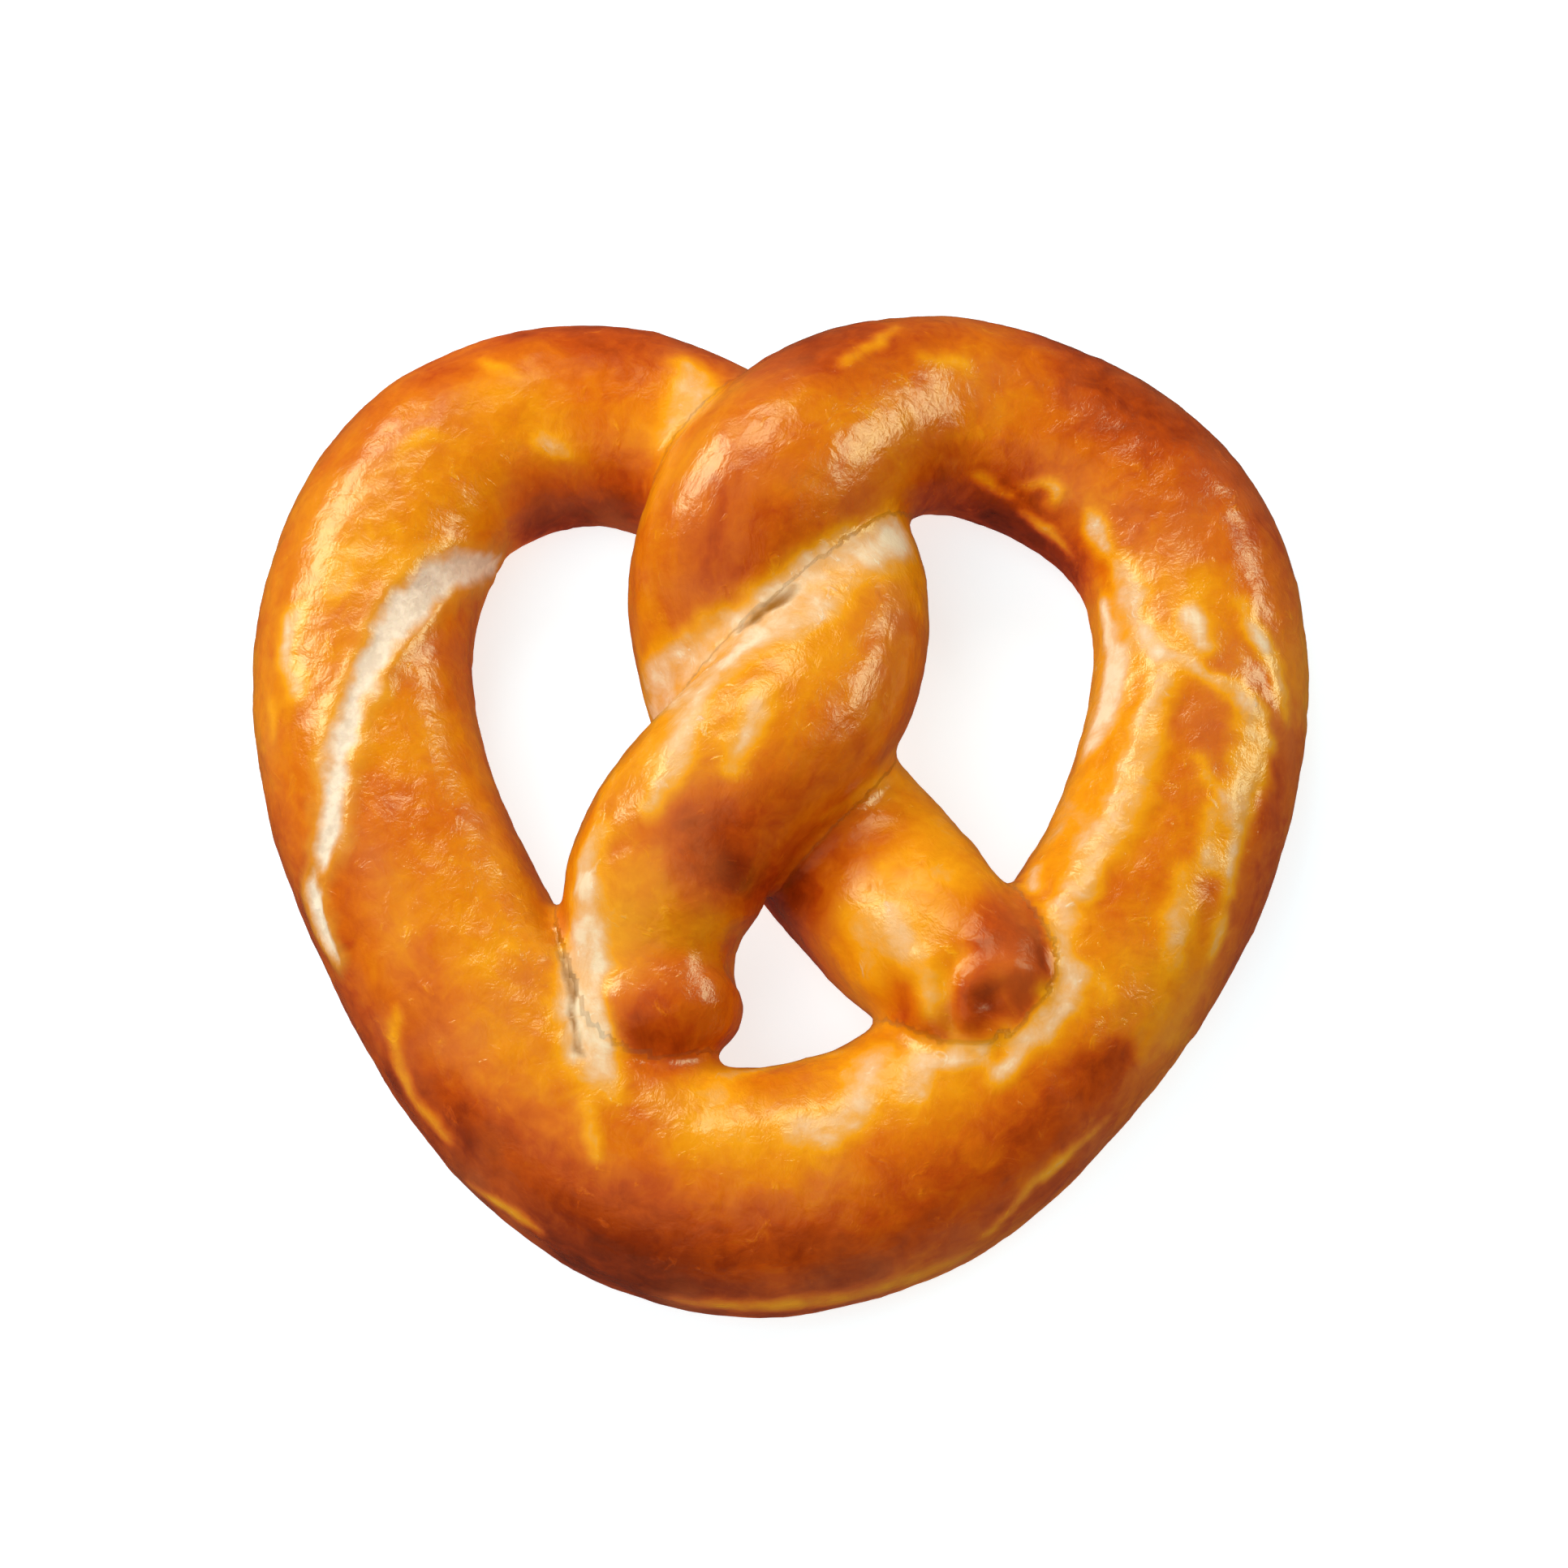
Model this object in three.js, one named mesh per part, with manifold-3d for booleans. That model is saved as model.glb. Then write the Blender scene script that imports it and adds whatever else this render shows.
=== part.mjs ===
// A soft pretzel: one rope of baked dough, wound once round itself and laid back on its own belly.
// Millimetres, +Z up, resting on z = 0, with the lobes towards +Y and the belly towards -Y.
import * as THREE from "three";
import { mergeVertices } from "three/addons/utils/BufferGeometryUtils.js";
import Module from "manifold-3d";

// Driving dimensions of the rope.
const armHalfWidth = 12.9; // half the width of the thin arms and lobes
const bellyHalfWidth = 15.9; // half the width of the thickest part of the belly
const tipHalfWidth = 10.8; // half the width of the two ends
const plumpness = 0.9; // height of the round section over its width
const seating = 0.8; // how far the middle of the section sits above the tray, in half heights
const squareness = 2.3; // superellipse power of the section, 2 is a plain ellipse
const tipLength = 8.5; // length over which each end rounds off
const tipBluntness = 2.2; // superellipse power of that rounding
const bellyShares = { start: 0.1, fullest: 0.5, end: 0.84 }; // where the belly swells, over the length
const tipTaper = { start: 4, end: 28 }; // distances from a tip over which the rope widens to the arms
const easingStep = 2; // spacing of the points the line of the rope is eased over
const easingRounds = 18; // how often each of them is averaged with its neighbours

// Fineness of the facets.
const ringSpacing = 2.35;
const tipRings = 6;
const tipStart = 0.25; // first ring of a tip, in ring steps from its very point
const pointsRound = 24;
const crownBias = 0.5; // crowds the points towards the top, where the crust has its relief

// The line of the rope, from the left end to the right one, as it was laid on the tray:
// x and y of the middle of the rope, and how far it is lifted off the tray.
const route = [
  { x: -14.2, y: -41.4, lift: 9 }, // left end
  { x: -16.4, y: -30.4, lift: 8.5 },
  { x: -17.0, y: -20.4, lift: 9.5 },
  { x: -11.6, y: -9.6, lift: 12.5 },
  { x: -4.4, y: -2.4, lift: 15 }, // over the right arm
  { x: 4.0, y: 6.6, lift: 13 },
  { x: 7.4, y: 17.8, lift: 9 },
  { x: 5.2, y: 32.4, lift: 4.5 },
  { x: -4.6, y: 44.6, lift: 0.5 }, // under the right arm
  { x: -17.6, y: 52.0, lift: 0 },
  { x: -30.6, y: 53.0, lift: 0 }, // left lobe
  { x: -47.4, y: 45.0, lift: 0 },
  { x: -54.8, y: 28.0, lift: 0 },
  { x: -56.1, y: 12.4, lift: 0 },
  { x: -51.6, y: -6.2, lift: 0 },
  { x: -40.5, y: -29.2, lift: 0 },
  { x: -27.2, y: -46.2, lift: 0 },
  { x: -10.4, y: -55.8, lift: 0 }, // belly
  { x: 6.8, y: -54.8, lift: 0 },
  { x: 22.6, y: -47.0, lift: 0 },
  { x: 39.6, y: -28.4, lift: 0 },
  { x: 50.6, y: -10.0, lift: 0 },
  { x: 56.4, y: 12.4, lift: 0 },
  { x: 55.2, y: 31.6, lift: 0 }, // right lobe
  { x: 47.2, y: 43.4, lift: 0 },
  { x: 33.6, y: 51.2, lift: 1 },
  { x: 18.8, y: 53.6, lift: 3.8 },
  { x: 6.8, y: 46.6, lift: 8 },
  { x: -2.4, y: 36.4, lift: 12 }, // over the left arm
  { x: -7.6, y: 26.6, lift: 11 },
  { x: -7.0, y: 18.4, lift: 5.5 },
  { x: -1.6, y: 5.2, lift: 0 }, // under the left arm
  { x: 11.6, y: -12.4, lift: 2 },
  { x: 19.6, y: -24.2, lift: 8 },
  { x: 26.6, y: -31.6, lift: 12.5 },
  { x: 32.6, y: -37.2, lift: 12.5 }, // right end
];

// The stations joined up and eased, as dough holds no sharp bend.
function easedLine() {
  const joined = new THREE.CatmullRomCurve3(
    route.map((at) => new THREE.Vector3(at.x, at.y, at.lift)),
    false,
    "catmullrom",
    0.5,
  );
  let points = joined.getSpacedPoints(Math.round(joined.getLength() / easingStep));
  for (let round = 0; round < easingRounds; round++) {
    points = points.map((point, i) => {
      if (i === 0 || i === points.length - 1) return point;
      return point.clone().multiplyScalar(2).add(points[i - 1]).add(points[i + 1]).divideScalar(4);
    });
  }
  return new THREE.CatmullRomCurve3(points);
}

const line = easedLine();
line.arcLengthDivisions = 2000;
const ropeLength = line.getLength();

// A smooth step from 0 to 1 as value goes from low to high.
const ease = (value, low, high) => THREE.MathUtils.smoothstep(value, low, high);

// Places where the rope swells or shrinks: where along it, over what length and by how much.
const swells = [
  { at: 4, reach: 9, extra: 0.6 }, // knob of the left end
  { at: 15, reach: 11, extra: -1.7 }, // neck behind it
  { at: 454, reach: 26, extra: 1.4 }, // right arm, spread over the left one
];

// Half the width of the rope at a distance along it: thin arms, a thick belly and slimmer ends.
function halfWidthAt(along) {
  const share = along / ropeLength;
  const { start, fullest, end } = bellyShares;
  const belly = ease(share, start, fullest) * (1 - ease(share, fullest, end));
  const tips = 1 - ease(Math.min(along, ropeLength - along), tipTaper.start, tipTaper.end);
  let half = armHalfWidth;
  half += (bellyHalfWidth - armHalfWidth) * belly;
  half += (tipHalfWidth - armHalfWidth) * tips;
  for (const swell of swells) {
    half += swell.extra * (1 - ease(Math.abs(along - swell.at), 0, swell.reach));
  }
  return half;
}

// The rounding of the two ends: 1 along the rope, falling to 0 at the very tip.
function roundingAt(along) {
  const reach = Math.min(along, ropeLength - along);
  const missing = Math.max(0, 1 - reach / tipLength);
  return Math.pow(1 - Math.pow(missing, tipBluntness), 1 / tipBluntness);
}

// The middle of the rope, its left-hand direction and its upward direction at a distance along it.
function frameAt(along) {
  const share = THREE.MathUtils.clamp(along / ropeLength, 0, 1);
  const middle = line.getPointAt(share);
  const ahead = line.getTangentAt(share);
  const left = new THREE.Vector3(-ahead.y, ahead.x, 0).normalize();
  const up = new THREE.Vector3().crossVectors(ahead, left);
  middle.z += seating * plumpness * halfWidthAt(along);
  return { middle, left, up };
}

// Long uneven waves of the dough: height, wave length along the rope, waves round it and phase.
const waves = [
  { height: 0.13, length: 47, round: 2, phase: 0.4 },
  { height: 0.11, length: 31, round: 1, phase: 2.1 },
  { height: 0.09, length: 19, round: 3, phase: 4 },
];

// Splits where the crust burst in the oven. Each path runs over places given as the distance along
// the rope, the degrees round it from the crown, and half the width of the split there.
const splitFloor = 0.3; // half width of a split's flat floor, over that of the split
const lipPlace = 1.6; // distance of its lips from its middle, over its half width
const splits = [
  {
    // long one down the left arm
    depth: 1.3,
    lip: 0.5,
    path: [
      [152, 72, 2.2],
      [160, 44, 3.8],
      [168, 17, 4.2],
      [178, -4, 3.2],
      [190, -17, 2.6],
      [202, -38, 2.2],
      [213, -58, 1.8],
    ],
  },
  {
    // inner side of the right arm
    depth: 0.8,
    lip: 0.2,
    path: [
      [401, 38, 2.4],
      [390, 38, 2.8],
      [375, 20, 2.6],
    ],
  },
  {
    // across the right arm
    depth: 0.7,
    lip: 0.2,
    path: [
      [378, 5, 2.4],
      [368, -8, 2.6],
      [360, -48, 2.4],
    ],
  },
  {
    // outer side of the right arm
    depth: 0.5,
    lip: 0.1,
    path: [
      [352, -24, 2.4],
      [342, -46, 2.8],
      [333, -68, 2.4],
    ],
  },
  {
    // left of the belly
    depth: 0.5,
    lip: 0.1,
    path: [
      [213, -38, 2.4],
      [223, -48, 2.6],
      [241, -84, 2.4],
    ],
  },
];

// The curled end: a ring pressed into the right end, and torn dough standing round it on the belly.
const curl = { x: 27.6, y: -32.4, radius: 5, width: 2.6, depth: 1.2 };
const tear = { radius: 13.4, width: 3.4, height: 1, ragged: 0.4, teeth: 7, start: 285, end: 338 };
const topOnly = 0.6; // cosine of the angle from the crown within which the two are full

const signedPower = (value, power) => Math.sign(value) * Math.pow(Math.abs(value), power);
const toRadians = THREE.MathUtils.degToRad;

// How far a split raises or lowers the crust at a place, both given in millimetres along and round the rope.
function splitRelief(split, along, around) {
  let nearest = Infinity;
  let half = 1;
  for (let i = 1; i < split.path.length; i++) {
    const [startAlong, startDegrees, startHalf] = split.path[i - 1];
    const [endAlong, endDegrees, endHalf] = split.path[i];
    const start = new THREE.Vector2(startAlong, toRadians(startDegrees) * halfWidthAt(startAlong));
    const end = new THREE.Vector2(endAlong, toRadians(endDegrees) * halfWidthAt(endAlong));
    const reach = end.sub(start);
    const here = new THREE.Vector2(along, around).sub(start);
    const share = THREE.MathUtils.clamp(here.dot(reach) / reach.lengthSq(), 0, 1);
    const gap = here.addScaledVector(reach, -share).length();
    if (gap < nearest) {
      nearest = gap;
      half = THREE.MathUtils.lerp(startHalf, endHalf, share);
    }
  }
  const floor = 1 - ease(nearest, splitFloor * half, half);
  const lip = 1 - ease(Math.abs(nearest - lipPlace * half), 0, half);
  return split.lip * lip - split.depth * floor;
}

// How far the crust stands off the plain rope at a distance along it and an angle round it.
function reliefAt(along, angle, plain) {
  const around = Math.atan2(Math.sin(angle), Math.cos(angle)) * halfWidthAt(along);
  let relief = 0;
  for (const wave of waves) {
    relief += wave.height * Math.sin((2 * Math.PI * along) / wave.length + wave.round * angle + wave.phase);
  }
  for (const split of splits) relief += splitRelief(split, along, around);

  const radius = Math.hypot(plain.x - curl.x, plain.y - curl.y);
  const bearing = Math.atan2(plain.y - curl.y, plain.x - curl.x);
  const onTop = ease(Math.cos(angle), 0, topOnly);
  if (along > ropeLength - 2 * armHalfWidth) {
    relief -= onTop * curl.depth * (1 - ease(Math.abs(radius - curl.radius), 0, curl.width));
  }
  if (along > tear.start && along < tear.end) {
    const ragged = tear.height + tear.ragged * Math.sin(tear.teeth * bearing);
    relief += onTop * ragged * (1 - ease(Math.abs(radius - tear.radius), 0, tear.width));
  }
  return relief;
}

// A point of the crust. The angle is 0 at the crown and grows towards the rope's left-hand side.
function crustPoint(along, angle) {
  const { middle, left, up } = frameAt(along);
  const rounding = roundingAt(along);
  const across = halfWidthAt(along) * rounding;
  const power = 2 / squareness;
  const outward = new THREE.Vector3()
    .addScaledVector(left, signedPower(Math.sin(angle), power))
    .addScaledVector(up, plumpness * signedPower(Math.cos(angle), power));
  const point = middle.addScaledVector(outward, across);
  point.addScaledVector(outward.normalize(), reliefAt(along, angle, point) * rounding);
  point.z = Math.max(point.z, 0);
  return point;
}

// The places of the rings between two distances along the rope, closer together where an end rounds off.
function ringPlaces(from, to) {
  const tipPlaces = [];
  for (let i = 0; i < tipRings; i++) {
    const turn = (Math.PI / 2) * ((i + tipStart) / tipRings);
    tipPlaces.push(tipLength * (1 - Math.cos(turn)));
  }
  const places = from === 0 ? [...tipPlaces] : [];
  const start = from === 0 ? tipLength : from;
  const finish = to === ropeLength ? ropeLength - tipLength : to;
  const steps = Math.ceil((finish - start) / ringSpacing);
  for (let i = 0; i <= steps; i++) places.push(start + ((finish - start) * i) / steps);
  if (to === ropeLength) places.push(...tipPlaces.reverse().map((reach) => ropeLength - reach));
  return places;
}

// One stretch of the rope as a closed indexed geometry. Its ends are flat cuts or the rope's own tips.
function stretch(from, to) {
  const places = ringPlaces(from, to);
  const rings = places.length - 1;
  const positions = [];
  const faces = [];
  for (const place of places) {
    for (let j = 0; j < pointsRound; j++) {
      const turn = (2 * Math.PI * j) / pointsRound;
      positions.push(...crustPoint(place, Math.PI + turn + crownBias * Math.sin(turn)).toArray());
    }
  }
  for (let i = 0; i < rings; i++) {
    for (let j = 0; j < pointsRound; j++) {
      const a = i * pointsRound + j;
      const b = i * pointsRound + ((j + 1) % pointsRound);
      faces.push(a, a + pointsRound, b, b, a + pointsRound, b + pointsRound);
    }
  }
  const startMiddle = positions.length / 3;
  positions.push(...ringMiddle(positions, 0));
  positions.push(...ringMiddle(positions, rings));
  for (let j = 0; j < pointsRound; j++) {
    const next = (j + 1) % pointsRound;
    faces.push(startMiddle, j, next);
    faces.push(startMiddle + 1, rings * pointsRound + next, rings * pointsRound + j);
  }
  const geometry = new THREE.BufferGeometry();
  geometry.setAttribute("position", new THREE.Float32BufferAttribute(positions, 3));
  geometry.setIndex(faces);
  return geometry;
}

// The mean of one ring's points.
function ringMiddle(positions, ring) {
  const sum = [0, 0, 0];
  for (let j = 0; j < pointsRound; j++) {
    for (let axis = 0; axis < 3; axis++) {
      sum[axis] += positions[(ring * pointsRound + j) * 3 + axis] / pointsRound;
    }
  }
  return sum;
}

const wasm = await Module();
wasm.setup();

function solidFrom(geometry) {
  const merged = mergeVertices(geometry, 1e-4);
  return new wasm.Manifold(
    new wasm.Mesh({
      numProp: 3,
      vertProperties: merged.attributes.position.array,
      triVerts: new Uint32Array(merged.index.array),
    }),
  );
}

function geometryFrom(solid) {
  const mesh = solid.getMesh();
  const geometry = new THREE.BufferGeometry();
  geometry.setAttribute("position", new THREE.BufferAttribute(mesh.vertProperties, 3));
  geometry.setIndex(new THREE.BufferAttribute(mesh.triVerts, 1));
  geometry.computeVertexNormals();
  return geometry;
}

// The geometry moved so that the middle of its box stands over the origin.
function centred(geometry) {
  geometry.computeBoundingBox();
  const middle = geometry.boundingBox.getCenter(new THREE.Vector3());
  return geometry.translate(-middle.x, -middle.y, 0);
}

// The rope crosses itself, so it is made as three stretches that do not, and those are fused.
const leftCut = ropeLength * 0.3;
const rightCut = ropeLength * 0.7;
const fused = [stretch(0, leftCut), stretch(leftCut, rightCut), stretch(rightCut, ropeLength)]
  .map(solidFrom)
  .reduce((whole, piece) => whole.add(piece));

const crust = new THREE.MeshStandardMaterial({ color: 0xd9822b, roughness: 0.42, metalness: 0 });
const pretzel = new THREE.Mesh(centred(geometryFrom(fused)), crust);
pretzel.name = "pretzel";

const part = new THREE.Group();
part.add(pretzel);
export default part;
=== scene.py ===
import math

import bpy
import numpy as np
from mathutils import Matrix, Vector, noise


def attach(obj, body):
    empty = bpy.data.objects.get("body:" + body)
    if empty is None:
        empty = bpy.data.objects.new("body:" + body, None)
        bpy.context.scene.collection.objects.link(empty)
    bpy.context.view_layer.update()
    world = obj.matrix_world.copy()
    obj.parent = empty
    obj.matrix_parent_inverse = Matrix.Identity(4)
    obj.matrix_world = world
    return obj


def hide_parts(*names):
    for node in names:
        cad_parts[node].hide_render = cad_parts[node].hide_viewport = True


mm = 0.001

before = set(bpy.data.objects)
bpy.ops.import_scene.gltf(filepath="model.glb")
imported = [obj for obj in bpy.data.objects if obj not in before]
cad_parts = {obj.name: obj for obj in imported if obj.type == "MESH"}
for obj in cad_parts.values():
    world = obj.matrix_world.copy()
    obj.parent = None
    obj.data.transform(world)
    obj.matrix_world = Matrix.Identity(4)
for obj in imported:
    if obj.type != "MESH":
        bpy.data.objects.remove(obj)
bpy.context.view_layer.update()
print("frame loaded")


class Field:  # the value of one socket, so that node maths reads as an expression
    def __init__(self, maker, socket):
        self.maker = maker
        self.socket = socket

    def maths(self, operation, *values):
        return self.maker.node("ShaderNodeMath", {"operation": operation}, values)[0]

    def __add__(self, other):
        return self.maths("ADD", self, other)

    def __radd__(self, other):
        return self.maths("ADD", other, self)

    def __sub__(self, other):
        return self.maths("SUBTRACT", self, other)

    def __rsub__(self, other):
        return self.maths("SUBTRACT", other, self)

    def __mul__(self, other):
        return self.maths("MULTIPLY", self, other)

    def __rtruediv__(self, other):
        return self.maths("DIVIDE", other, self)

    def __pow__(self, other):
        return self.maths("POWER", self, other)

    def __abs__(self):
        return self.maths("ABSOLUTE", self)

    def sign(self):
        return self.maths("SIGN", self)

    def most(self, other):
        return self.maths("MAXIMUM", self, other)

    def fade(self, low, high):  # 0 at low, 1 at high, eased between them
        inputs = {"Value": self, "From Min": low, "From Max": high, "To Min": 0.0, "To Max": 1.0}
        return self.maker.node("ShaderNodeMapRange", {"interpolation_type": "SMOOTHSTEP"}, inputs)[0]


class Outputs:
    def __init__(self, maker, made):
        self.maker = maker
        self.made = made

    def __getitem__(self, key):
        return Field(self.maker, self.made.outputs[key])


class NodeMaker:
    def __init__(self, tree):
        self.tree = tree

    def node(self, kind, settings=None, inputs=None):
        made = self.tree.nodes.new(kind)
        for name, value in (settings or {}).items():
            if name == "stops":
                self.setStops(made.color_ramp, value)
            else:
                setattr(made, name, value)
        pairs = inputs.items() if isinstance(inputs, dict) else enumerate(inputs or ())
        for key, value in pairs:
            if isinstance(value, Field):
                self.tree.links.new(value.socket, made.inputs[key])
            else:
                made.inputs[key].default_value = value
        return Outputs(self, made)

    def setStops(self, ramp, stops):
        while len(ramp.elements) < len(stops):
            ramp.elements.new(1.0)
        for element, (place, colour) in zip(ramp.elements, stops):
            element.position = place
            element.color = (*colour, 1.0)

    def mixColour(self, factor, first, second):
        return self.node("ShaderNodeMix", {"data_type": "RGBA"}, {0: factor, 6: first, 7: second})[2]

    def noise(self, vector, pattern):
        return self.node("ShaderNodeTexNoise", None, {"Vector": vector, **pattern})["Fac"]

    def separated(self, vector):
        return self.node("ShaderNodeSeparateXYZ", None, (vector,))


class GeometryMaker(NodeMaker):
    def named(self, name, kind="FLOAT"):
        return self.node("GeometryNodeInputNamedAttribute", {"data_type": kind}, {"Name": name})[0]

    def position(self):
        return self.node("GeometryNodeInputPosition")[0]

    def scaled(self, vector, amount):
        return self.node("ShaderNodeVectorMath", {"operation": "SCALE"}, {0: vector, "Scale": amount})[0]

    def moved(self, geometry, **where):  # where is a Position or an Offset
        return self.node("GeometryNodeSetPosition", None, {"Geometry": geometry, **where})[0]

    def blurred(self, value, rounds, kind="FLOAT", **weight):
        inputs = {"Value": value, "Iterations": rounds, **weight}
        return self.node("GeometryNodeBlurAttribute", {"data_type": kind}, inputs)[0]

    def finished(self, geometry, material):
        real = self.node("GeometryNodeRealizeInstances", None, {"Geometry": geometry})[0]
        return self.node("GeometryNodeSetMaterial", None, {"Geometry": real, "Material": material})[0]


def newTree(name, inputs, output):
    tree = bpy.data.node_groups.new(name, "GeometryNodeTree")
    for label, kind in inputs.items():
        tree.interface.new_socket(label, in_out="INPUT", socket_type="NodeSocket" + kind)
    tree.interface.new_socket(output, in_out="OUTPUT", socket_type="NodeSocketGeometry")
    return tree


def runTree(piece, tree, values):
    modifier = piece.modifiers.new(tree.name, "NODES")
    modifier.node_group = tree
    for item in tree.interface.items_tree:
        if item.in_out == "INPUT" and item.name in values:
            modifier[item.identifier] = values[item.name]


def plainMesh(piece, name):  # what the modifiers make, as a mesh of its own, and the piece removed
    bpy.context.view_layer.update()
    depsgraph = bpy.context.evaluated_depsgraph_get()
    mesh = bpy.data.meshes.new_from_object(piece.evaluated_get(depsgraph), depsgraph=depsgraph)
    bpy.data.objects.remove(piece)
    mesh.name = name
    return mesh


def newPiece(name, data):
    piece = bpy.data.objects.new(name, data)
    bpy.context.scene.collection.objects.link(piece)
    return piece


def setAttribute(mesh, name, values, kind="FLOAT"):
    attribute = mesh.attributes.new(name, kind, "POINT")
    field = "vector" if kind == "FLOAT_VECTOR" else "value"
    attribute.data.foreach_set(field, np.ascontiguousarray(values, np.float32).ravel())


rope = {  # in millimetres
    "stations": [  # x, y and lift off the tray, from the left end round both lobes to the right end
        (-14.2, -41.4, 9), (-16.4, -30.4, 9.3), (-17.0, -20.4, 9.5), (-11.6, -9.6, 12.5),
        (-4.4, -2.4, 15), (4.0, 6.6, 13), (7.4, 17.8, 9), (5.2, 32.4, 4.5), (-4.6, 44.6, 0.5),
        (-17.6, 52.0, 0), (-30.6, 53.0, 0), (-47.4, 45.0, 0), (-54.8, 28.0, 0), (-56.1, 12.4, 0),
        (-51.6, -6.2, 0), (-40.5, -29.2, 0), (-27.2, -46.2, 0), (-10.4, -55.8, 0), (6.8, -54.8, 0),
        (22.6, -47.0, 0), (39.6, -28.4, 0), (50.6, -10.0, 0), (56.4, 12.4, 0), (55.2, 31.6, 0),
        (47.2, 43.4, 0), (33.6, 51.2, 1), (18.8, 53.6, 3.8), (6.8, 46.6, 8), (-2.4, 36.4, 12),
        (-7.6, 26.6, 11), (-7.0, 18.4, 5.5), (-1.6, 5.2, 0), (11.6, -12.4, 2), (19.6, -24.2, 8),
        (26.6, -31.6, 12.5), (32.6, -37.2, 12.5),
    ],
    "middle": (0.11, -2.67, 0),  # what stands over the origin
    "stationSpans": 40,  # points from one station to the next
    "easingStep": 2,
    "easingRounds": 18,
    "easedSpans": 6,
    "lineStep": 0.25,
    "armHalfWidth": 12.9,
    "bellyHalfWidth": 15.9,
    "tipHalfWidth": 10.8,
    "bellyShares": (0.1, 0.5, 0.84),  # where the belly starts, is fullest and ends, as shares of the length
    "tipTaper": (4, 28),  # distances from an end between which the rope widens to the arms
    "swells": [(4, 9, 0.6), (15, 11, -0.6), (454, 26, 1.4)],  # place, reach and extra half width
    "plumpness": 0.9,  # height of the section over its width
    "seating": 0.8,  # how far its middle sits above the tray, in half heights
    "squareness": 2.3,  # superellipse power of the section
    "tipLength": 8.5,
    "tipBluntness": 2.2,
    "tipRings": 12,
    "tipStart": 0.08,  # first ring of an end, as a share of its quarter turn
    "ringSpacing": 1.0,
    "pointsRound": 96,
    "voxel": 0.76,
    "smoothing": 0.5,
    "smoothingRounds": 3,
}


def ease(value, low, high):
    share = np.clip((np.asarray(value, float) - low) / (high - low), 0, 1)
    return share * share * (3 - 2 * share)


def throughPoints(points, perSpan):  # uniform Catmull-Rom
    points = np.asarray(points, float)
    padded = np.vstack([2 * points[0] - points[1], points, 2 * points[-1] - points[-2]])
    t = (np.arange(perSpan) / perSpan)[:, None]
    spans = [
        0.5 * (2 * b + (c - a) * t + (2 * a - 5 * b + 4 * c - d) * t**2 + (3 * b - a - 3 * c + d) * t**3)
        for a, b, c, d in zip(padded, padded[1:], padded[2:], padded[3:])
    ]
    return np.vstack([*spans, points[-1:]])


def reachedAlong(points):
    return np.concatenate([[0], np.cumsum(np.linalg.norm(np.diff(points[:, :3], axis=0), axis=1))])


def evenly(points, spacing):
    reached = reachedAlong(points)
    places = np.linspace(0, reached[-1], max(2, round(reached[-1] / spacing) + 1))
    return np.column_stack([np.interp(places, reached, column) for column in points.T])


def easedLine(stations):  # dough holds no sharp bend, so each point is drawn towards its neighbours
    points = evenly(throughPoints(stations, rope["stationSpans"]), rope["easingStep"])
    for _ in range(rope["easingRounds"]):
        points[1:-1] = (points[:-2] + 2 * points[1:-1] + points[2:]) / 4
    eased = evenly(throughPoints(points, rope["easedSpans"]), rope["lineStep"])
    return eased - np.array(rope["middle"])


ropeLine = easedLine(rope["stations"])
ropeReached = reachedAlong(ropeLine)
ropeLength = ropeReached[-1]


def toEnd(along):  # how far the nearer end is
    return np.minimum(along, ropeLength - along)


def halfWidthAt(along):
    along = np.asarray(along, float)
    start, fullest, end = rope["bellyShares"]
    share = along / ropeLength
    belly = ease(share, start, fullest) * (1 - ease(share, fullest, end))
    tips = 1 - ease(toEnd(along), *rope["tipTaper"])
    half = rope["armHalfWidth"] + (rope["bellyHalfWidth"] - rope["armHalfWidth"]) * belly
    half = half + (rope["tipHalfWidth"] - rope["armHalfWidth"]) * tips
    for place, reach, extra in rope["swells"]:
        half = half + extra * (1 - ease(np.abs(along - place), 0, reach))
    return half


def roundingAt(along):
    missing = np.maximum(0, 1 - toEnd(along) / rope["tipLength"])
    return np.maximum(0, 1 - missing ** rope["tipBluntness"]) ** (1 / rope["tipBluntness"])


def roundedHalfAt(along):
    return halfWidthAt(along) * roundingAt(along)


def middleAt(along):
    middle = np.column_stack([np.interp(along, ropeReached, column) for column in ropeLine.T])
    middle[:, 2] += rope["seating"] * rope["plumpness"] * halfWidthAt(along)
    return middle


def sectionAt(along, step=0.5):  # the middle of the rope's section, its left-hand and its upward direction
    ahead = middleAt(np.minimum(along + step, ropeLength)) - middleAt(np.maximum(along - step, 0))
    ahead /= np.linalg.norm(ahead, axis=1)[:, None]
    left = np.column_stack([-ahead[:, 1], ahead[:, 0], np.zeros(len(ahead))])
    left /= np.linalg.norm(left, axis=1)[:, None]
    return middleAt(along), left, np.cross(ahead, left)


def crustPoint(along, degrees):  # 0 degrees is the crown, and more turns to the rope's left
    middle, left, upward = sectionAt(along)
    half = roundedHalfAt(along)
    cosine, sine = np.cos(np.radians(degrees)), np.sin(np.radians(degrees))
    power = 2 / rope["squareness"]
    across = np.sign(sine) * np.abs(sine) ** power * half
    height = np.sign(cosine) * np.abs(cosine) ** power * half * rope["plumpness"]
    point = middle + left * across[:, None] + upward * height[:, None]
    point[:, 2] = np.maximum(point[:, 2], 0)
    return point


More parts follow.
